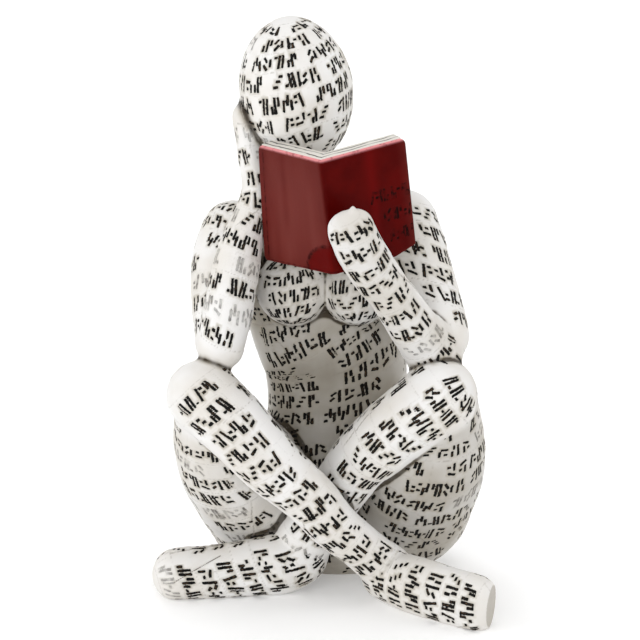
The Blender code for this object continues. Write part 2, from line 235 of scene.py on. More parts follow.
def framesAlong(path):
    # along is the path's direction, deep the part of facing square to it, wide square to both
    along = unit(np.gradient(path[:, :3], axis=0))
    deep = unit(facing - along * (along @ facing)[:, None])
    return along, deep, np.cross(along, deep)


def fullTurn(count):
    # evenly spread angles of a whole turn
    return 2 * np.pi * np.arange(count) / count


def tube(stations):
    # oval rings: centre + wide a cos(w) + deep b sin(w); round ends shrink the rings by cos(lift)
    path = smoothPath(stations, figure["tubeStep"])
    along, deep, wide = framesAlong(path)
    lifts = np.radians(figure["endLifts"])
    ends = np.full(len(lifts), len(path) - 1)
    index = np.concatenate([0 * ends, np.arange(len(path)), ends])
    lift = np.concatenate([-lifts[::-1], np.zeros(len(path)), lifts])[:, None, None]
    w = fullTurn(figure["around"])[None, :, None]
    a, b = path[index, 3][:, None, None], path[index, 4][:, None, None]
    reach = np.minimum(a, b)
    centre = path[index, :3][:, None] + along[index][:, None] * reach * np.sin(lift)
    ring = wide[index][:, None] * a * np.cos(w) + deep[index][:, None] * b * np.sin(w)
    return centre + ring * np.cos(lift)


def eggAxes(shape):
    up = unit(np.array(shape["axis"], float))
    deep = unit(facing - up * (up @ facing))
    return np.cross(up, deep), deep, up


def egg(shape):
    # rings of latitude p: sizes times (cos p cos w, cos p sin w, sin p), narrowed towards the lower end
    wide, deep, up = eggAxes(shape)
    p = np.radians(np.linspace(-86, 86, figure["eggRings"]))[:, None, None]
    w = fullTurn(figure["eggAround"])[None, :, None]
    a, b, c = shape["sizes"]
    narrow = 1.0 - shape["taper"] * (0.5 - 0.5 * np.sin(p)) ** 2
    ring = (wide * a * np.cos(w) + deep * b * np.sin(w)) * np.cos(p) * narrow
    return np.array(shape["centre"], float) + ring + up * c * np.sin(p)


def ringFaces(rows, around, first):
    # quads between neighbouring rings, and a fan from each end ring to its pole vertex
    k = np.arange(rows * around).reshape(rows, around) + first
    n = np.roll(k, -1, axis=1)
    quads = np.stack([k[:-1], n[:-1], n[1:], k[1:]], -1).reshape(-1, 4)
    pole = np.full(around, first + rows * around)
    fans = [np.stack([n[0], k[0], pole], -1), np.stack([k[-1], n[-1], pole + 1], -1)]
    return quads, np.vstack(fans)


def newMesh(name, points, quads, triangles=None):
    # points in metres; faces as whole arrays
    mesh = bpy.data.meshes.new(name)
    triangles = np.zeros((0, 3), int) if triangles is None else triangles
    corners = np.concatenate([quads.ravel(), triangles.ravel()])
    sizes = np.concatenate([np.full(len(quads), 4), np.full(len(triangles), 3)])
    starts = np.concatenate([[0], np.cumsum(sizes)[:-1]])
    mesh.vertices.add(len(points))
    mesh.vertices.foreach_set("co", np.asarray(points, np.float32).ravel())
    mesh.loops.add(len(corners))
    mesh.loops.foreach_set("vertex_index", corners.astype(np.int32))
    mesh.polygons.add(len(sizes))
    mesh.polygons.foreach_set("loop_start", starts.astype(np.int32))
    mesh.update(calc_edges=True)
    mesh.validate()
    return mesh


def newObject(name, mesh):
    thing = bpy.data.objects.new(name, mesh)
    bpy.context.scene.collection.objects.link(thing)
    return thing


def readVectors(mesh, kind):
    # kind is co for places or normal for directions
    values = np.zeros(len(mesh.vertices) * 3, np.float32)
    mesh.vertices.foreach_get(kind, values)
    return values.reshape(-1, 3).astype(float)


def readCorners(items, key, width):
    # vertex numbers of edges (key vertices) or loops (key vertex_index), as rows of width
    values = np.zeros(len(items) * (2 if key == "vertices" else 1), np.int32)
    items.foreach_get(key, values)
    return values.reshape(-1, width).astype(np.int64)


def setAttribute(mesh, name, values):
    layer = mesh.attributes.new(name, "FLOAT", "POINT")
    layer.data.foreach_set("value", np.asarray(values, np.float32))


def fuseLimbs():
    # all limbs as one skin: a voxel shell, smoothed where limbs meet, then one round of subdivision
    shapes = [tube(limb["path"]) for limb in limbs.values()] + [egg(shape) for shape in eggs.values()]
    points, quads, fans, first = [], [], [], 0
    for rings in shapes:
        rows, around = rings.shape[:2]
        points += [rings.reshape(-1, 3), rings[0].mean(0)[None], rings[-1].mean(0)[None]]
        q, f = ringFaces(rows, around, first)
        quads.append(q)
        fans.append(f)
        first += rows * around + 2
    raw = newObject("raw_limbs", newMesh("raw_limbs", np.vstack(points), np.vstack(quads), np.vstack(fans)))
    fuse = raw.modifiers.new("fuse", "REMESH")
    fuse.mode = "VOXEL"
    fuse.voxel_size = figure["grain"]
    soften = raw.modifiers.new("soften", "SMOOTH")
    soften.iterations = figure["softening"]
    refine = raw.modifiers.new("refine", "SUBSURF")
    refine.levels = 1
    refine.render_levels = 1
    graph = bpy.context.evaluated_depsgraph_get()
    mesh = bpy.data.meshes.new_from_object(raw.evaluated_get(graph))
    bpy.data.objects.remove(raw)
    return mesh


def alongLimb(points, limb):
    # From the nearest sample of the centre line: how far outside the limb's oval a point is,
    # its place along the limb, its angle from the front and its offset across.
    path = smoothPath(limb["path"], figure["probeStep"])
    centres = path[:, :3]
    along, deep, wide = framesAlong(path)
    arc = np.concatenate([[0], np.cumsum(np.linalg.norm(np.diff(centres, axis=0), axis=1))])
    nearest = np.zeros(len(points), int)
    for start in range(0, len(points), 20000):
        part = points[start:start + 20000]
        nearest[start:start + 20000] = ((centres ** 2).sum(1)[None] - 2 * part @ centres.T).argmin(1)
    q = points - centres[nearest]
    off = (q * along[nearest]).sum(1)
    x = (q * wide[nearest]).sum(1)
    y = (q * deep[nearest]).sum(1)
    a, b = path[nearest, 3], path[nearest, 4]
    r = np.minimum(a, b)
    atEnd = (nearest == 0) | (nearest == len(path) - 1)
    gap = (np.sqrt((x / a) ** 2 + (y / b) ** 2 + np.where(atEnd, off / r, 0.0) ** 2) - 1.0) * r
    place = np.stack([arc[nearest] + off, np.arctan2(x / a, y / b), x], 1)
    return gap.astype(np.float32), place.astype(np.float32), arc, (path[:, 3] + path[:, 4]) / 2


def alongEgg(points, shape):
    # the same four for an egg: along is the height above the middle as a length on the shell
    wide, deep, up = eggAxes(shape)
    a, b, c = shape["sizes"]
    q = points - np.array(shape["centre"], float)
    x, y, z = q @ wide, q @ deep, q @ up
    gap = (np.sqrt((x / a) ** 2 + (y / b) ** 2 + (z / c) ** 2) - 1.0) * a
    arc = np.linspace(-c * np.pi / 2, c * np.pi / 2, 60)
    place = np.stack([np.arcsin(np.clip(z / c, -1.0, 1.0)) * c, np.arctan2(x / a, y / b), x], 1)
    return gap.astype(np.float32), place.astype(np.float32), arc, np.cos(arc / c) * (a + b) / 2


def strokeDesigns():
    # Each design is three or four square-ended strokes that stand apart, as tally marks do: posts of odd
    # heights, slants, ticks, bars and blocks. A stroke is x and y of both ends from -1 to 1, and whether it
    # is thick. Designs of three are filled up with a stroke far away.
    designs = [
        [(-.8, -1, -.8, 1, 1), (0, -1, 0, -.3, 1), (.7, .5, .9, .5, 1)],
        [(-.95, -1, -.55, 1, 1), (-.1, -1, .3, 1, 1), (.75, -.8, .95, -.8, 1)],
        [(-.85, .2, -.85, 1, 1), (0, -1, 0, 1, 1), (.85, -1, .85, -.1, 1)],
        [(-.9, -.75, -.7, -.75, 1), (-.9, .15, -.7, .15, 1), (.1, -1, .7, 1, 1)],
        [(-.9, .85, -.4, .85, 1), (-.25, .05, .25, .05, 1), (.4, -.8, .9, -.8, 1)],
        [(-.85, -1, -.85, 1, 1), (0, .75, .6, .4, 1), (.35, -.3, .95, -.65, 1)],
        [(-.9, -1, -.9, 1, 1), (-.05, -1, -.05, 1, 1), (.8, -1, .8, -.3, 1)],
        [(-.85, -1, -.45, 1, 1), (0, -1, .35, 1, 0), (.9, -.1, .95, -.1, 1)],
        [(-.75, .35, -.75, 1, 1), (-.35, -1, -.35, -.35, 1), (.65, -1, .65, 1, 1)],
        [(-.85, -.4, .25, -.4, 1), (-.7, .65, -.5, .65, 1), (.75, .2, .75, 1, 1)],
        [(-.9, -1, -.3, -.35, 1), (-.9, .35, -.3, 1, 1), (.6, -.5, .6, .5, 1)],
        [(-.95, -.2, -.95, 1, 1), (-.3, -1, -.05, .1, 1), (.7, -.3, .95, 1, 1)],
        [(-.9, -1, -.9, .2, 1), (-.1, -.2, -.1, 1, 1), (.75, -.9, .95, -.9, 1), (.75, .3, .95, .3, 1)],
        [(-.6, .55, .6, .9, 1), (-.75, -.5, -.55, -.5, 1), (.55, -.95, .55, -.1, 1)],
    ]
    farAway = (99, 99, 100, 99, 1)
    longest = max(len(design) for design in designs)
    return np.array([design + [farAway] * (longest - len(design)) for design in designs], float)


strokeTable = strokeDesigns()


def markDistance(x, y, row, word, place, seed, size):
    # One design for each cell, flipped at random. The distance in mm to its nearest stroke's edge: the larger
    # of the distances past the stroke's end and beside its middle line, less half its width.
    design = np.floor(chance(place, word, row, seed) * (len(strokeTable) - 1e-6)).astype(int)
    x = np.where(chance(place, word, row, seed, 5) > 0.5, x, -x)[:, None] / size
    y = np.where(chance(place, word, row, seed, 7) > 0.5, y, -y)[:, None] / size
    sx = (marks["cell"] - marks["between"]) / 2 - marks["thick"]
    sy = marks["height"] / 2 - marks["thick"]
    s = strokeTable[design]
    x0, y0 = s[..., 0] * sx, s[..., 1] * sy
    dx, dy = s[..., 2] * sx - x0, s[..., 3] * sy - y0
    half = np.where(s[..., 4] > 0.5, marks["thick"], marks["thin"])
    long = np.hypot(dx, dy)
    past = np.abs(((x - x0) * dx + (y - y0) * dy) / long - long / 2) - long / 2
    beside = np.abs((x - x0) * dy - (y - y0) * dx) / long
    return (np.maximum(past, beside) - half).min(1) * size


def markRows(s, angle, arc, radius, style, seed):
    # Rows ring the limb: s is the place along it, angle runs round it from the front.
    # Each row has words of a few cells, and each cell one design.
    pitch, cell = style["pitch"], marks["cell"] * style["size"]
    row = np.floor((s - style["first"]) / pitch).astype(int)
    middle = style["first"] + (row + 0.5) * pitch
    girth = np.interp(middle, arc, radius)
    over = np.maximum(np.maximum(arc[0] - middle, middle - arc[-1]), 0.0) / girth
    girth = girth * np.sqrt(np.maximum(1.0 - over ** 2, 0.01))    # a round end narrows as a circle does
    u = angle * girth
    room = cell * style["word"]
    spread = (chance(row, seed, 11) - 0.5) * (marks["jitter"] if style["centred"] else 2 * room)
    shifted = u + spread + cell * style["count"][1] / 2
    word = np.floor(shifted / room).astype(int)
    place = np.floor((shifted - word * room) / cell).astype(int)
    x = shifted - word * room - (place + 0.5) * cell
    least, most = style["count"]
    count = least + np.floor(chance(word, row, seed, 23) * (most - least + 1 - 1e-6)).astype(int)
    distance = markDistance(x, s - middle, row, word, place, seed, style["size"])
    missing = (place >= count) | (math.pi * girth - np.abs(u) < marks["seamRoom"])
    missing |= (girth < marks["leastGirth"]) | (over > 0.8)
    missing |= (middle < arc[0] + style["room"][0]) | (middle > arc[-1] - style["room"][1])
    strength = np.where(chance(word, row, seed, 31) < style["faint"], marks["faintness"], 1.0)
    return np.where(missing, nowhere, np.minimum(distance, nowhere)), strength, row, u


def stripPatch(u, row, seed):
    # which patch of its row's strip a place lies in, and how far along the patch
    wander = u + chance(row, seed, 41) * strips["shift"]
    patch = np.floor(wander / strips["patch"]).astype(int)
    return patch, wander - patch * strips["patch"]


def stripRelief(s, u, row, style, seed, arc):
    # Torn strips follow the rows; each patch of a strip lies a little higher or lower, with a ramp to the
    # next. A few long tears run along the limb, each a step that fades away on its higher side.
    # Returns the lift and how near the torn edge is.
    pitch, ramp, patchSize = style["pitch"], strips["ramp"], strips["patch"]
    f = s - style["first"] - row * pitch
    patch, g = stripPatch(u, row, seed)
    here = chance(row, patch, seed, 43)
    above = chance(row + 1, stripPatch(u, row + 1, seed)[0], seed, 43)
    beside = chance(row, patch + 1, seed, 43)
    lift = here + (beside - here) * blendStep(patchSize - ramp, patchSize, g)
    lift = lift + (above - lift) * blendStep(pitch - ramp, pitch, f)
    tear = np.maximum(np.abs(above - here) * (1 - blendStep(0.0, strips["line"], pitch - f)),
                      np.abs(beside - here) * (1 - blendStep(0.0, strips["line"], patchSize - g)))
    lift = (lift - 0.5) * 2 * strips["lift"]
    for k in range(strips["tears"]):
        spread = [float(chance(np.array([k]), seed, 50 + m)[0]) for m in range(4)]
        across, down = (spread[0] - 0.5) * strips["tearSpread"], arc[0] + spread[1] * (arc[-1] - arc[0])
        turn = (spread[2] - 0.5) * 1.5
        reach = strips["tearReach"][0] + strips["tearReach"][1] * spread[3]
        along = (s - down) * math.cos(turn) + (u - across) * math.sin(turn)
        side = (u - across) * math.cos(turn) - (s - down) * math.sin(turn) + 0.25 * np.sin(along * 0.5)
        inside = 1 - blendStep(reach * 0.6, reach, np.abs(along))
        step = blendStep(-0.2, 0.2, side) * (1 - blendStep(0.5, strips["tearFade"], side))
        lift += inside * strips["tearLift"] * step
        tear = np.maximum(tear, inside * (1 - blendStep(0.05, strips["line"], np.abs(side))))
    return lift, tear


def neighbourMean(values, edges):
    # mean over each vertex's neighbours, for a column of values at a time
    ends = np.concatenate([edges[:, 0], edges[:, 1]])
    others = np.concatenate([edges[:, 1], edges[:, 0]])
    degree = np.maximum(np.bincount(ends, minlength=len(values)), 1)
    return np.stack([np.bincount(ends, column[others], len(values)) / degree for column in values.T], 1)


def shadeAndWashInCreases(points, normals, edges, gaps, owner, names):
    # painted shade with some wash: 1 where another limb's skin touches this one or where the skin is hollow,
    # falling to 0 away from there
    apart = np.ones((len(names), len(names)), bool)
    np.fill_diagonal(apart, False)
    for one, other in joined:
        i, j = names.index(one), names.index(other)
        apart[i, j] = apart[j, i] = False
    others = np.where(apart[owner], gaps, 99.0).min(1)
    near = 1.0 - np.clip(np.abs(others) / shadeAndWashSpread["reach"], 0.0, 1.0)
    smooth = points
    for _ in range(shadeAndWashSpread["rounds"]):
        smooth = neighbourMean(smooth, edges)
    hollow = np.clip(((smooth - points) * normals).sum(1) / shadeAndWashSpread["hollow"], 0.0, 1.0)
    return np.maximum(near, hollow)


def dressSkin(mesh):
    # works out every vertex's limb, marks, strips, stains and painted shade, and presses the marks and strips
    # into the skin
    points, normals = readVectors(mesh, "co"), readVectors(mesh, "normal")
    edges = readCorners(mesh.edges, "vertices", 2)
    shapes = {**limbs, **eggs}
    names = list(shapes)
    found = [alongEgg(points, shape) if name in eggs else alongLimb(points, shape)
             for name, shape in shapes.items()]
    gaps = np.stack([f[0] for f in found], 1)
    owner = gaps.argmin(1)
    sway = grainNoise(points, marks["swaySize"], 4) * marks["sway"]
    layers = {name: np.zeros(len(points))
              for name in ("inkDistance", "inkStrength", "tear", "shadeAndWash", "creaseShadeAndWash")}
    lift = np.zeros(len(points))
    for n, name in enumerate(names):
        mine = owner == n
        followed = names.index(shapes[name].get("rowsOf", name))
        style = {**rowStyle, **shapes[names[followed]]}
        _, place, arc, radius = found[followed]
        s = place[mine, 0] - place[mine, 2] * math.tan(math.radians(style["tilt"])) + sway[mine]
        ink, layers["inkStrength"][mine], row, u = markRows(s, place[mine, 1], arc, radius, style, followed)
        layers["inkDistance"][mine] = ink
        lift[mine], layers["tear"][mine] = stripRelief(s, u, row, style, followed, arc)
        # painted shade: skin that faces front is greyer, up to the limb's own amount; the rest keeps the even
        # grey wash
        front = blendStep(-0.1, 0.6, normals[mine] @ facing)
        layers["shadeAndWash"][mine] = rowStyle["shadeAndWash"] + (style["shadeAndWash"] - rowStyle["shadeAndWash"]) * front
    layers["creaseShadeAndWash"] = shadeAndWashInCreases(points, normals, edges, gaps, owner, names)
    # the painted shade and wash is softened over the skin
    for _ in range(shadeAndWashSpread["shadeAndWashRounds"]):
        layers["shadeAndWash"] = neighbourMean(layers["shadeAndWash"][:, None], edges)[:, 0]
    layers["inkDistance"] += grainNoise(points, marks["wobbleSize"], 3) * marks["wobble"]
    press = 1.0 - blendStep(-marks["edge"], marks["edge"] * 0.5, layers["inkDistance"])
    lift += grainNoise(points, strips["lumpSize"], 1) * strips["lumps"]
    lift += grainNoise(points, strips["fineSize"], 2) * strips["fine"]
    lift -= marks["depth"] * press * layers["inkStrength"]
    points = smallForms(points, normals, lift, layers)
    return points, owner, names, edges, layers


def smallForms(points, normals, lift, layers):
    # groove: distance to its middle line, also darkened as painted crease shade; nub: a bump that falls as a
    # bell;
    # toe end: what lies past a plane is pulled back towards it and painted darker as shade; underside:
    # nothing reaches below the floor
    start, end = np.array(footGroove["from"]), np.array(footGroove["to"])
    t = np.clip((points - start) @ (end - start) / ((end - start) @ (end - start)), 0, 1)[:, None]
    away = points - start - t * (end - start)
    across = unit(np.cross(end - start, footGroove["outward"]))
    near = (np.linalg.norm(away, axis=1) < footGroove["reach"]) & (t[:, 0] < 1) & (t[:, 0] > 0)
    line = np.where(near, 1 - blendStep(0.0, footGroove["width"], np.abs(away @ across)), 0.0)
    # the groove is darkened as painted crease shade
    layers["creaseShadeAndWash"] = np.maximum(layers["creaseShadeAndWash"], line)
    lift = lift - line * footGroove["depth"]
    tip = points[np.linalg.norm(points - np.array(nub["place"]), axis=1).argmin()]
    far = np.linalg.norm(points - tip, axis=1)
    lift = lift + nub["height"] * np.exp(-(far / nub["width"]) ** 2 * 2.0)
    points = points + normals * lift[:, None]
    normal = unit(np.array(toeEnd["normal"]))
    past = np.maximum((points - np.array(toeEnd["point"])) @ normal, 0.0)
    past = np.where(points[:, 0] > toeEnd["fromX"], past, 0.0)
    # painted shade on the flat toe end, which turns away from the light
    layers["shadeAndWash"] = np.where(past > 0.3, toeEnd["shadeAndWash"], layers["shadeAndWash"])
    points = points - normal * (past * (1 - toeEnd["keep"]))[:, None]
    points[:, 2] = np.maximum(points[:, 2], 0.0)
    return points


# The open book, in mm and degrees: openings at the foot and at the head, how far the pages stand up (rise),
# how deep skin can reach into a board and still be moved out (deepest), the leaf lines' count (leaves), and
# where in the cover's thickness the page block starts (sunk), with its edges' rounding, wall rows and grid
book = {
    "height": 39.7, "board": 31.3, "thickness": 1.4, "corner": 2.2, "spineRound": 1.7,
    "pages": 4.8, "inset": 1.3, "spine": (2.3, -27.0, 139.2),
    "pitch": 12.0, "roll": 4.0, "yaw": -12.4, "leftOpening": (61.0, 54.0), "rightOpening": (51.0, 51.0),
    "chamfer": (8.5, 2.6), "clearance": 0.12, "deepest": 3.0, "rise": 1.5,
    "leaves": 2.2, "sunk": 0.6, "pageRound": 0.25, "pageRows": 12, "pageGrid": (41, 24),
}


def bookTurn():
    # yaw about Z, then pitch about X, then roll about Y, as the book is held
    y, p, r = (math.radians(book[k]) for k in ("yaw", "pitch", "roll"))
    aboutZ = np.array([[math.cos(y), -math.sin(y), 0], [math.sin(y), math.cos(y), 0], [0, 0, 1]])
    aboutX = np.array([[1, 0, 0], [0, math.cos(p), -math.sin(p)], [0, math.sin(p), math.cos(p)]])
    aboutY = np.array([[math.cos(r), 0, -math.sin(r)], [0, 1, 0], [math.sin(r), 0, math.cos(r)]])
    return aboutZ @ aboutX @ aboutY


def halfAxes(h):
    # plan directions of both halves at the height h: outwards from the spine, and inwards to the reader
    mix = np.clip(0.5 + h / book["height"], 0, 1)
    axes = []
    for key, side in (("leftOpening", -1), ("rightOpening", 1)):
        angle = np.radians(book[key][0] + (book[key][1] - book[key][0]) * mix)
        axes.append(((side * np.sin(angle), np.cos(angle)), (-side * np.cos(angle), np.sin(angle))))
    return axes


def bookSurface(u, v, depth, length, height, rounding, corner):
    # A point of the book: u runs from the left board's free edge (-1) over the spine (0) to the right one
    # (1), v from the foot (-1) to the head (1), depth is how far it lies inside the boards' outer faces.
    # In plan each half is a straight line from the free edge to the gutter; a parabola rounds the spine,
    # a circle shortens both halves at the corners, and a straight chamfer takes the right lower one.
    h = v * height / 2
    (leftOut, leftIn), (rightOut, rightIn) = halfAxes(h)
    area = leftIn[0] * rightIn[1] - leftIn[1] * rightIn[0]
    foldX = (rightIn[1] - leftIn[1]) * depth / area
    foldY = (leftIn[0] - rightIn[0]) * depth / area
    short = 0.0 * h
    if corner:
        over = np.maximum(0.0, np.abs(h) - (height / 2 - corner))
        short = corner - np.sqrt(np.maximum(corner ** 2 - over ** 2, 0.0))
        long, tall = book["chamfer"]
        cut = np.maximum(0.0, -h - (height / 2 - tall)) * long / tall
        short = np.where(u > 0, np.maximum(short, cut), short)
    outX, outY = (np.where(u < 0, leftOut[k], rightOut[k]) for k in (0, 1))
    inX, inY = (np.where(u < 0, leftIn[k], rightIn[k]) for k in (0, 1))
    m = np.abs(u)
    x = foldX + (outX * (length - short) + inX * depth - foldX) * m
    y = foldY + (outY * (length - short) + inY * depth - foldY) * m
    if rounding:
        # inside the rounding the corner is pulled in by (1 - m / edge)^2 / 4 of the way to both sides' mean
        edge = rounding / length
        pull = np.where(m < edge, (1 - m / edge) ** 2 / 4, 0.0) * rounding
        x = x + pull * (leftOut[0] + rightOut[0])
        y = y + pull * (leftOut[1] + rightOut[1])
    return np.stack([x, y, h], -1) @ bookTurn().T + np.array(book["spine"])


def clearOfBook(points):
    # skin that reaches into a board is moved out square to the board, to clearance from its outer face
    turn, room = bookTurn(), book["clearance"]
    local = (points - np.array(book["spine"])) @ turn
    for _ in range(2):
        for out, inwards in halfAxes(local[:, 2]):
            along = local[:, 0] * out[0] + local[:, 1] * out[1]
            depth = local[:, 0] * inwards[0] + local[:, 1] * inwards[1]
            inside = (np.abs(local[:, 2]) < book["height"] / 2 + room) & (along > 0)
            inside &= (along < book["board"] + room) & (depth > -room) & (depth < book["deepest"])
            move = np.where(inside, depth + room, 0.0)
            local[:, 0] -= move * inwards[0]
            local[:, 1] -= move * inwards[1]
    return local @ turn.T + np.array(book["spine"])


def toWorld(points):
    # millimetres of the drawing to metres of the frame: the figure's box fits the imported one
    return (points * scale + shift) * mm


print("fusing the limbs")
skin = fuseLimbs()
skinPoints, owner, limbNames, skinEdges, layers = dressSkin(skin)
skinPoints = clearOfBook(skinPoints)
frameLow, frameHigh = (np.array(corner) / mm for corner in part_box("reading_girl"))
scale = (frameHigh[2] - frameLow[2]) / drawnHeight
middle = (skinPoints.min(0) + skinPoints.max(0))[:2] / 2 * scale
shift = np.array([*((frameLow + frameHigh)[:2] / 2 - middle), frameLow[2]])
print("skin vertices", len(skinPoints))


def settleLabels(labels, edges, kinds, rounds=14):
    # each vertex takes the label that most of its neighbours and itself have, so borders run smoothly
    ends = np.concatenate([edges[:, 0], edges[:, 1], np.arange(len(labels))]) * kinds
    others = np.concatenate([edges[:, 1], edges[:, 0], np.arange(len(labels))])
    weight = np.concatenate([np.ones(2 * len(edges)), np.full(len(labels), 1.5)])
    for _ in range(rounds):
        labels = np.bincount(ends + labels[others], weight, len(labels) * kinds).reshape(-1, kinds).argmax(1)
    return labels


def capsFor(quads, points):
    # Edges that only one face has form open loops. Each loop's vertices take its lowest index by passing it
    # on along the edges, and each gets a fan to its mean point, so that the piece is a closed shell.
    a, b = quads.ravel(), np.roll(quads, -1, axis=1).ravel()
    lone = ~np.isin(a << 32 | b, b << 32 | a)
    starts, ends = a[lone], b[lone]
    lowest = np.arange(len(points))
    before = None
    while before is None or (before != lowest).any():
        before = lowest.copy()
        low = np.minimum(lowest[starts], lowest[ends])
        np.minimum.at(lowest, starts, low)
        np.minimum.at(lowest, ends, low)
        lowest = lowest[lowest]
    loops, which = np.unique(lowest[starts], return_inverse=True)
    share = np.bincount(which)
    means = np.stack([np.bincount(which, points[starts, k]) / share for k in range(3)], 1)
    return means, np.stack([ends, starts, len(points) + which], -1)


def makeSkinPieces(mesh, material):
    # the fused skin is parted along its creases into closed shells that share their borders' normals
    quads = readCorners(mesh.loops, "vertex_index", 4)
    pieceOf = {limb: k for k, held in enumerate(pieces.values()) for limb in held}
    labels = settleLabels(np.array([pieceOf[limb] for limb in limbNames])[owner], skinEdges, len(pieces))
    whole = newMesh("whole", toWorld(skinPoints), quads)
    normals = readVectors(whole, "normal")
    bpy.data.meshes.remove(whole)
    faceLabel = np.stack([(labels[quads] == k).sum(1) for k in range(len(pieces))], 1).argmax(1)
    for k, name in enumerate(pieces):
        mine = quads[faceLabel == k]
        extra, fans = capsFor(mine, skinPoints)
        used, inverse = np.unique(np.concatenate([mine.ravel(), fans.ravel()]), return_inverse=True)
        places = toWorld(np.vstack([skinPoints, extra])[used])
        part = newMesh(name, places, inverse[:mine.size].reshape(-1, 4), inverse[mine.size:].reshape(-1, 3))
        for layer, values in layers.items():
            filler = nowhere if layer == "inkDistance" else 0.0
            setAttribute(part, layer, np.concatenate([values, np.full(len(extra), filler)])[used])
        part.shade_smooth()
        capNormals = np.tile([0.0, 0.0, 1.0], (len(extra), 1))
        part.normals_split_custom_set_from_vertices(np.vstack([normals, capNormals])[used])
        part.materials.append(material)
        thing = newObject(name, part)
        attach(thing, "root")
        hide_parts("reading_girl")
        print(name, "triangles", 2 * len(mine) + len(fans))


def addNode(tree, kind, inputs=None, output=0, **settings):
    # adds one node; inputs maps a socket's name or place to a value or to another node's output
    node = tree.nodes.new("ShaderNode" + kind)
    for key, value in settings.items():
        setattr(node, key, value)
    for key, value in (inputs or {}).items():
        if isinstance(value, bpy.types.NodeSocket):
            tree.links.new(value, node.inputs[key])
        else:
            node.inputs[key].default_value = value
    return node.outputs[output] if len(node.outputs) else node


def newMaterial(name):
    material = bpy.data.materials.new(name)
    material.use_nodes = True
    material.node_tree.nodes.clear()
    return material, material.node_tree


def noiseOf(tree, place, size, detail=3.0):
    # a noise texture whose pattern is size mm wide
    return addNode(tree, "TexNoise", {"Vector": place, "Scale": 1.0 / (size * mm), "Detail": detail})


def layerOf(tree, name):
    return addNode(tree, "Attribute", output="Fac", attribute_name=name)


def ramp(tree, source, low, high, least=0.0, most=1.0):
    # least up to low, most from high on, and a smooth step between them
    limits = {0: source, 1: low, 2: high, 3: least, 4: most}
    return addNode(tree, "MapRange", limits, interpolation_type="SMOOTHSTEP")


def product(tree, one, other):
    return addNode(tree, "Math", {0: one, 1: other}, operation="MULTIPLY", use_clamp=True)


def mixed(tree, share, *colours):
    # the first colour where share is 0 and the second where it is 1; each is hex text or a node's output
    one, other = (colour(c) if isinstance(c, str) else c for c in colours)
    return addNode(tree, "Mix", {0: share, 6: one, 7: other}, output=2, data_type="RGBA")


def finishMaterial(tree, settings):
    shader = addNode(tree, "BsdfPrincipled", settings)
    addNode(tree, "OutputMaterial", {"Surface": shader})


# The three tints after warm are painted shade with some real wash: grey where the skin faces front, brown and
# near black in creases and where limbs touch.
skinFinish = {
    "white": "#EDECEB", "warm": "#E2DED8", "shadeAndWash": "#9A9386", "brownCreaseShade": "#857A62", "dark": "#2E251B",
    "line": "#9A938A", "ink": "#050403", "inkMiddle": "#4A3826", "stain": "#A8A090",
    "roughness": 0.6, "gloss": 0.15,
    "broadSize": 22.0, "blotchSize": 5.0, "rubSize": 0.8, "wornSize": 2.2, "grainSize": 0.55,
}


def paintedResin():
    # Cast polyester resin under matt white acrylic: an even, slightly chalky white with a soft sheen.
    # The pressed strokes hold black-brown wash, darkest at their rims and a lighter brown in patches of their
    # middles; painted shade greys the skin that faces front and, with a thin brown wash, darkens creases
    # where limbs touch; thin grey lines follow the torn paper edges.
    material, tree = newMaterial("painted cast resin")
    look = skinFinish
    place = addNode(tree, "TexCoord", output="Object")
    layer = {name: layerOf(tree, name) for name in layers}
    noise = {size: noiseOf(tree, place, look[size])
             for size in ("broadSize", "blotchSize", "rubSize", "wornSize", "grainSize")}
    blotch = ramp(tree, noise["blotchSize"], 0.34, 0.66, 0.25)
    warmth = ramp(tree, noise["broadSize"], 0.35, 0.7)
    base = mixed(tree, warmth, look["white"], look["warm"])
    softCreaseShade = ramp(tree, layer["creaseShadeAndWash"], 0.35, 0.95, 0.0, 0.9)
    hardCreaseShade = ramp(tree, layer["creaseShadeAndWash"], 0.62, 0.93)
    even = ramp(tree, noise["broadSize"], 0.3, 0.7, 0.7)
    halo = product(tree, ramp(tree, layer["inkDistance"], 1.1, 0.0, 0.0, 0.75), layer["inkStrength"])
    # painted shade on front-facing skin, stains round the marks, painted shade with wash in creases, lines at
    # tears
    for amount, patchy, tint in (
            (layer["shadeAndWash"], even, "shadeAndWash"), (halo, blotch, "stain"), (softCreaseShade, blotch, "brownCreaseShade"),
            (hardCreaseShade, even, "dark"), (layer["tear"], even, "line")):
        base = mixed(tree, product(tree, amount, patchy), base, look[tint])
    ragged = addNode(tree, "Math", {0: noise["rubSize"], 1: 0.4, 2: -0.2}, operation="MULTIPLY_ADD")
    edge = addNode(tree, "Math", {0: layer["inkDistance"], 1: ragged}, operation="ADD")
    inside = ramp(tree, edge, 0.09, -0.06)
    # a lighter brown in noise patches deep inside each stroke
    middlePatches = ramp(tree, noise["wornSize"], 0.47, 0.62)
    deep = ramp(tree, edge, -0.2, -0.42)
    ink = mixed(tree, product(tree, middlePatches, deep), look["ink"], look["inkMiddle"])
    left = addNode(tree, "Math", {0: noise["wornSize"], 1: 1.5, 2: -1.1}, operation="MULTIPLY_ADD")
    left = addNode(tree, "Math", {0: layer["inkStrength"], 1: 2.0, 2: left}, operation="MULTIPLY_ADD",
                   use_clamp=True)
    base = mixed(tree, product(tree, inside, left), base, ink)
    bump = addNode(tree, "Bump", {"Strength": 0.4, "Distance": 0.00015, "Height": noise["grainSize"]})
    finishMaterial(tree, {"Base Color": base, "Normal": bump, "Roughness": look["roughness"], "IOR": 1.5,
                          "Specular IOR Level": look["gloss"]})
    return material


makeSkinPieces(skin, paintedResin())
bpy.data.meshes.remove(skin)
print("skin dressed")


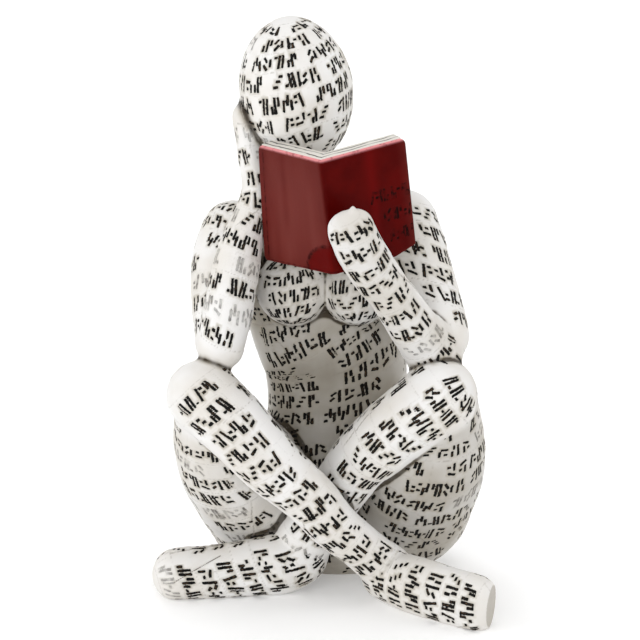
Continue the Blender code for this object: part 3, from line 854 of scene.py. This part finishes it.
def spaced(count, rim):
    # -1 to 1 with extra points close to both ends
    near = np.array([0.0, 0.06, 0.16, 0.32, 0.6]) * rim
    return np.concatenate([-1 + near, np.linspace(-1 + rim, 1 - rim, count), 1 - near[::-1]])


def slab(surface, us, vs, low, high, roundness, sizes, walls, raised=None):
    # A slab between two depths of the book: an outer and an inner sheet, whose edges are rounded off
    # by r - sqrt(r^2 - (r - d)^2) at the distance d from the rim, and a wall of rows between the rims.
    # raised gives how far the outer sheet stands out for u and v. Also returns u, v and the depth's share.
    u, v = np.meshgrid(us, vs, indexing="ij")
    d = np.clip(np.minimum((1 - np.abs(u)) * sizes[0], (1 - np.abs(v)) * sizes[1] / 2), 0.0, roundness)
    e = roundness - np.sqrt(np.maximum(roundness ** 2 - (roundness - d) ** 2, 0.0))
    out = 0.0 if raised is None else raised(u, v) * d / roundness
    nu, nv = u.shape
    index = np.arange(nu * nv).reshape(nu, nv)
    rim = np.concatenate([index[:-1, 0], index[-1, :-1], index[:0:-1, -1], index[0, :0:-1]])
    points = [surface(u, v, low + e - out).reshape(-1, 3), surface(u, v, high - e).reshape(-1, 3)]
    params = [np.stack([u.ravel(), v.ravel(), np.full(nu * nv, share)], 1) for share in (0.0, 1.0)]
    quads = np.stack([index[:-1, :-1], index[1:, :-1], index[1:, 1:], index[:-1, 1:]], -1).reshape(-1, 4)
    faces, loops = [quads, quads[:, ::-1] + nu * nv], [rim]
    ru, rv = u.ravel()[rim], v.ravel()[rim]
    for k in range(1, walls):
        share = k / walls
        loops.append(len(rim) * (k - 1) + np.arange(len(rim)) + 2 * nu * nv)
        level = low + roundness + (high - low - 2 * roundness) * share
        points.append(surface(ru, rv, np.full(len(rim), level)))
        params.append(np.stack([ru, rv, np.full(len(rim), share)], 1))
    loops.append(rim + nu * nv)
    for one, other in zip(loops, loops[1:]):
        faces.append(np.stack([other, np.roll(other, -1), np.roll(one, -1), one], -1))
    return np.vstack(points), np.vstack(faces), np.vstack(params).T


def orientOut(mesh):
    # doubles are merged, and the faces of the closed shell are turned to point outwards
    shell = bmesh.new()
    shell.from_mesh(mesh)
    bmesh.ops.remove_doubles(shell, verts=shell.verts, dist=1e-7)
    bmesh.ops.recalc_face_normals(shell, faces=shell.faces)
    shell.to_mesh(mesh)
    shell.free()


def finishBookPiece(name, points, faces, material, attributes):
    mesh = newMesh(name, toWorld(points), faces)
    for layer, values in attributes.items():
        setAttribute(mesh, layer, values)
    orientOut(mesh)
    mesh.shade_smooth()
    mesh.materials.append(material)
    thing = newObject(name, mesh)
    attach(thing, "root")
    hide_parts("open_book")


# The cover: its rows of marks on the right board, drip, painted lines, painted sheen, painted highlight
# streak and grid of points.
# Places are shares of a board (u) and of half the height (v); pitches, depths and line widths are in mm.
cover = {
    "pitch": 7.2, "firstRow": -6.2, "starts": (0.5, 0.63, 0.69), "size": 0.88, "count": 4, "press": 0.14,
    "lastPlace": 0.985, "seed": 77,
    "drip": (-0.02, -0.97), "dripSize": (0.34, 0.46), "ridge": 0.12, "ridgeWidth": 0.07,
    "uneven": 0.05, "unevenSize": 7.0, "brush": 0.012, "brushSize": 2.0,
    "dashLine": 0.915, "footLine": 0.955, "headLine": 0.93, "lineWidth": 0.16, "edgeWear": 0.945,
    "paintedSheen": 0.9, "paintedSheenPlace": -0.45, "paintedSheenSize": (0.62, 1.3), "rightPaintedSheen": 0.3,
    "highlightStreakAndDrip": 0.7, "highlightStreakPlace": 0.56, "highlightStreakWidth": 0.06, "dripRed": 0.35,
    "grid": (117, 92), "rims": (0.03, 0.04), "roundness": 0.45,
}


def coverMarks(u, v):
    # rows run along the right board; each starts at its own place and has a few cells
    along, down = u * book["board"], -v * book["height"] / 2
    row = np.floor((down - cover["firstRow"]) / cover["pitch"]).astype(int)
    middle = cover["firstRow"] + (row + 0.5) * cover["pitch"]
    lastRow = len(cover["starts"]) - 1
    start = np.array(cover["starts"])[np.clip(row, 0, lastRow)] * book["board"]
    cell = marks["cell"] * cover["size"]
    place = np.floor((along - start) / cell).astype(int)
    x = along - start - (place + 0.5) * cell
    distance = markDistance(x, down - middle, row, 0 * row, place, cover["seed"], cover["size"])
    missing = (row < 0) | (row > lastRow) | (place < 0) | (place >= cover["count"]) | (u > cover["lastPlace"])
    return np.where(missing, nowhere, np.minimum(distance, nowhere))


def dripDistance(u, v):
    # below 1 inside the oval drip at the left board's lower inner corner
    q = np.hypot((u - cover["drip"][0]) / cover["dripSize"][0], (v - cover["drip"][1]) / cover["dripSize"][1])
    return np.where(u < 0, q, 9.0)


def coverRelief(u, v):
    # slow waves of thick paint, a ridge round the drip, and the pressed marks
    flat = np.stack([u.ravel() * book["board"], v.ravel() * book["height"] / 2, 0 * u.ravel()], 1)
    waves = grainNoise(flat, cover["unevenSize"], 8) * cover["uneven"]
    waves = waves + grainNoise(flat, cover["brushSize"], 9) * cover["brush"]
    ridge = np.exp(-((dripDistance(u, v) - 1.0) / cover["ridgeWidth"]) ** 2) * cover["ridge"]
    press = (1 - blendStep(-0.2, 0.1, coverMarks(u.ravel(), v.ravel()))) * cover["press"]
    return (waves - press).reshape(u.shape) + ridge


# The brownish tint is a painted reflection of sheen on the left board; the lighter streak red is a painted
# highlight on the right board, and also colours the drip.
coverFinish = {
    "red": "#480201", "redder": "#540402", "highlightStreakAndDrip": "#620504", "paintedSheen": "#6A2E29", "line": "#2A0403",
    "ink": "#120302", "middlePatches": "#DE8F92", "roughness": 0.3, "gloss": 0.06, "broadSize": 9.0, "fineSize": 1.6,
}


def redEnamel():
    # Solvent paint on resin: deep wine red, brushed on thick and glossy, a little uneven, with a brownish
    # painted sheen on the left board, a lighter painted highlight streak on the right board, and rubbed to
    # pink along the top edges
    look = coverFinish
    material, tree = newMaterial("glossy red paint")
    place = addNode(tree, "TexCoord", output="Object")
    names = ("inkDistance", "wear", "paintedSheen", "highlightStreakAndDrip", "line")
    layer = {name: layerOf(tree, name) for name in names}
    broad, fine = (noiseOf(tree, place, look[size]) for size in ("broadSize", "fineSize"))
    base = mixed(tree, ramp(tree, broad, 0.3, 0.7), look["red"], look["redder"])
    broken = ramp(tree, fine, 0.4, 0.6, 0.2, 0.95)
    ink = product(tree, ramp(tree, layer["inkDistance"], 0.08, -0.06), broken)
    line = product(tree, layer["line"], broken)
    wear = product(tree, layer["wear"], ramp(tree, fine, 0.3, 0.5, 0.5))
    for share, tint in ((layer["highlightStreakAndDrip"], "highlightStreakAndDrip"), (layer["paintedSheen"], "paintedSheen"), (line, "line"),
                        (ink, "ink"), (wear, "middlePatches")):
        base = mixed(tree, share, base, look[tint])
    bump = addNode(tree, "Bump", {"Strength": 0.25, "Distance": 0.0002, "Height": fine})
    finishMaterial(tree, {"Base Color": base, "Normal": bump, "Roughness": look["roughness"], "IOR": 1.4,
                          "Specular IOR Level": look["gloss"]})
    return material


def makeCover():
    # both boards and the spine in one sheet, edges fully rounded
    def surface(u, v, depth):
        return bookSurface(u, v, depth, book["board"], book["height"], book["spineRound"], book["corner"])
    size = (book["board"], book["height"])
    us, vs = (spaced(count, rim) for count, rim in zip(cover["grid"], cover["rims"]))
    points, faces, (u, v, share) = slab(surface, us, vs, 0.0, book["thickness"],
                                        book["thickness"] * cover["roundness"], size, 2, coverRelief)
    outer = share < 0.25
    drip = dripDistance(u, v)
    edgeU = np.abs(np.abs(u) - cover["dashLine"]) * book["board"]
    edgeV = np.abs(v + cover["footLine"]) * book["height"] / 2
    nearest = np.where(u < 0, np.minimum(edgeU, edgeV), edgeV)
    line = 1 - blendStep(cover["lineWidth"], 2 * cover["lineWidth"], nearest)
    line = np.maximum(line * 0.9, 1 - blendStep(0.03, 0.09, np.abs(drip - 1.0)))
    below = 1 - blendStep(0.05, 0.22, np.abs((v - cover["headLine"]) * book["height"] / 2))
    # painted sheen: a brownish reflection laid over the left board, and a little at the right board's free
    # edge
    wide, tall = cover["paintedSheenSize"]
    paintedSheen = np.exp(-((u - cover["paintedSheenPlace"]) / wide) ** 4 - (v / tall) ** 4) * blendStep(0.9, 1.1, drip)
    brushed = np.stack([u * book["board"], v * 3.0, 0 * u], 1)
    paintedSheen = paintedSheen * (0.84 + 0.2 * blendStep(0.0, -0.8, v) + 0.26 * grainNoise(brushed, 2.4, 12))
    paintedSheen = np.where(u < 0, paintedSheen * blendStep(0.0, 0.05, -u), cover["rightPaintedSheen"] * blendStep(0.86, 1.0, u))
    # painted highlight: a lighter vertical streak on the right board; inside the drip the same lighter red
    # marks the drip's redder paint
    highlightStreakAndDrip = np.exp(-((u - cover["highlightStreakPlace"]) / cover["highlightStreakWidth"]) ** 2) * cover["highlightStreakAndDrip"]
    highlightStreakAndDrip = highlightStreakAndDrip + (drip < 1) * cover["dripRed"]
    finishBookPiece("book_cover", points, faces, redEnamel(), {
        "inkDistance": np.where(outer, coverMarks(u, v), nowhere),
        "wear": blendStep(cover["edgeWear"], 0.995, v),
        "paintedSheen": np.where(outer, paintedSheen * cover["paintedSheen"], 0.0),
        "highlightStreakAndDrip": np.where(outer, highlightStreakAndDrip, 0.0),
        "line": np.where(outer, np.maximum(line, below), 0.0),
    })


def pagePaint():
    # white acrylic over the moulded page block, with thin dark broken lines between the leaves
    material, tree = newMaterial("painted page block")
    place = addNode(tree, "TexCoord", output="Object")
    noise = noiseOf(tree, place, 6.0, 2.0)
    leafDepth = layerOf(tree, "leafDepth")
    wander = addNode(tree, "Math", {0: noise, 1: 0.9, 2: leafDepth}, operation="MULTIPLY_ADD")
    wave = addNode(tree, "Math", {0: wander, 1: 0.5}, operation="PINGPONG")
    line = product(tree, ramp(tree, wave, 0.17, 0.09), ramp(tree, noise, 0.35, 0.5, 0.45, 0.95))
    base = mixed(tree, product(tree, line, layerOf(tree, "onEdge")), "#DEDAD2", "#1E1A17")
    finishMaterial(tree, {"Base Color": base, "Roughness": 0.5, "IOR": 1.5})
    return material


def makePages():
    # one block of leaves, set up to the boards' upper edge
    length, height = book["board"] - book["inset"], book["height"] - 2 * book["inset"]

    def surface(u, v, depth):
        return bookSurface(u, v, depth, length, height, 0.0, 0.0) + bookTurn()[:, 2] * book["rise"]
    size = (book["board"], book["height"])
    low, high = book["thickness"] * book["sunk"], book["thickness"] + book["pages"]
    us, vs = (spaced(count, rim) for count, rim in zip(book["pageGrid"], cover["rims"]))
    points, faces, (u, v, share) = slab(surface, us, vs, low, high, book["pageRound"], size, book["pageRows"])
    rim = np.maximum(blendStep(0.97, 0.99, np.abs(u)), blendStep(0.97, 0.99, np.abs(v)))
    finishBookPiece("book_pages", points, faces, pagePaint(),
                    {"leafDepth": share * book["leaves"], "onEdge": rim})


makeCover()
makePages()
print("book made")

studio = {"floor": "#F4F4F4", "glow": 0.18, "radius": 2.2, "wall": 1.6, "curve": 0.6, "middle": 0.5,
          "around": 96, "world": 0.25}
# Soft panels: where each hangs and what it faces (m), its sides (m) and its power (W)
panels = {
    "left window": {"place": (-0.9, -0.4, 0.55), "aim": (0.0, 0.0, 0.1), "size": (0.7, 0.9), "power": 2.9},
    "right window": {"place": (0.9, -0.2, 0.55), "aim": (0.0, 0.0, 0.1), "size": (0.6, 0.8), "power": 2.2},
    "top panel": {"place": (0.0, 0.0, 1.1), "aim": (0.0, 0.0, 0.0), "size": (0.9, 0.9), "power": 3.2},
    "front fill": {"place": (-0.35, -1.2, 0.6), "aim": (0.0, 0.0, 0.08), "size": (0.8, 0.8), "power": 4.9},
    "wall light": {"place": (0.0, 0.5, 1.4), "aim": (0.0, 2.0, 0.5), "size": (1.6, 0.5), "power": 14.0},
}
# Where the picture was taken from: the point looked at in mm of the drawing, and the lens
camera = {"target": (0.0, 0.0, 100.0), "distance": 750.0, "elevation": 12.0, "lens": 124.4, "sensor": 36.0}


def makeStage():
    # floor and a low wall all round in one sheet: a profile of floor, quarter circle and wall turned about Z
    r = studio["curve"]
    t = np.linspace(0, np.pi / 2, 16)
    reach = np.concatenate([[studio["middle"]], studio["radius"] - r + r * np.sin(t), [studio["radius"]]])
    reach = reach[:, None]
    z = np.concatenate([[0.0], r - r * np.cos(t), [studio["wall"]]]) - 0.1 * mm
    w = fullTurn(studio["around"])[None]
    rings = np.stack(np.broadcast_arrays(reach * np.cos(w), reach * np.sin(w), z[:, None]), -1)
    k = np.arange(rings.shape[0] * rings.shape[1]).reshape(rings.shape[:2])
    n = np.roll(k, -1, axis=1)
    quads = np.stack([k[:-1], k[1:], n[1:], n[:-1]], -1).reshape(-1, 4)
    middle = np.stack([k[0], n[0], np.full(studio["around"], k.size)], -1)
    mesh = newMesh("backdrop", np.vstack([rings.reshape(-1, 3), [0.0, 0.0, z[0]]]), quads, middle)
    material, tree = newMaterial("matt white paper")
    finishMaterial(tree, {"Base Color": colour(studio["floor"]), "Roughness": 0.9,
                          "Emission Color": colour("#FFFFFF"), "Emission Strength": studio["glow"]})
    mesh.materials.append(material)
    mesh.shade_smooth()
    newObject("backdrop", mesh)


def softLight(name, panel):
    lamp = bpy.data.lights.new(name, "AREA")
    lamp.shape = "RECTANGLE"
    lamp.size, lamp.size_y = panel["size"]
    lamp.energy = panel["power"]
    thing = newObject(name, lamp)
    thing.location = panel["place"]
    x, y, z = np.array(panel["place"]) - np.array(panel["aim"])
    thing.rotation_euler = (math.atan2(math.hypot(x, y), z), 0.0, math.atan2(x, -y))


def makeCamera():
    tilt = math.radians(camera["elevation"])
    target = toWorld(np.array(camera["target"]))
    lens = bpy.data.cameras.new("photo camera")
    lens.lens = camera["lens"]
    lens.sensor_width = camera["sensor"]
    thing = newObject("photo camera", lens)
    reach = camera["distance"] * scale * mm
    thing.location = target + reach * np.array([0.0, -math.cos(tilt), math.sin(tilt)])
    thing.rotation_euler = (math.pi / 2 - tilt, 0.0, 0.0)
    bpy.context.scene.camera = thing


def makeWorld():
    world = bpy.data.worlds.new("soft studio")
    world.use_nodes = True
    background = world.node_tree.nodes["Background"]
    background.inputs[0].default_value = colour("#FFFFFF")
    background.inputs[1].default_value = studio["world"]
    bpy.context.scene.world = world
    bpy.context.scene.view_settings.view_transform = "Standard"


makeStage()
makeWorld()
for name, panel in panels.items():
    softLight(name, panel)
makeCamera()
print("stage set")
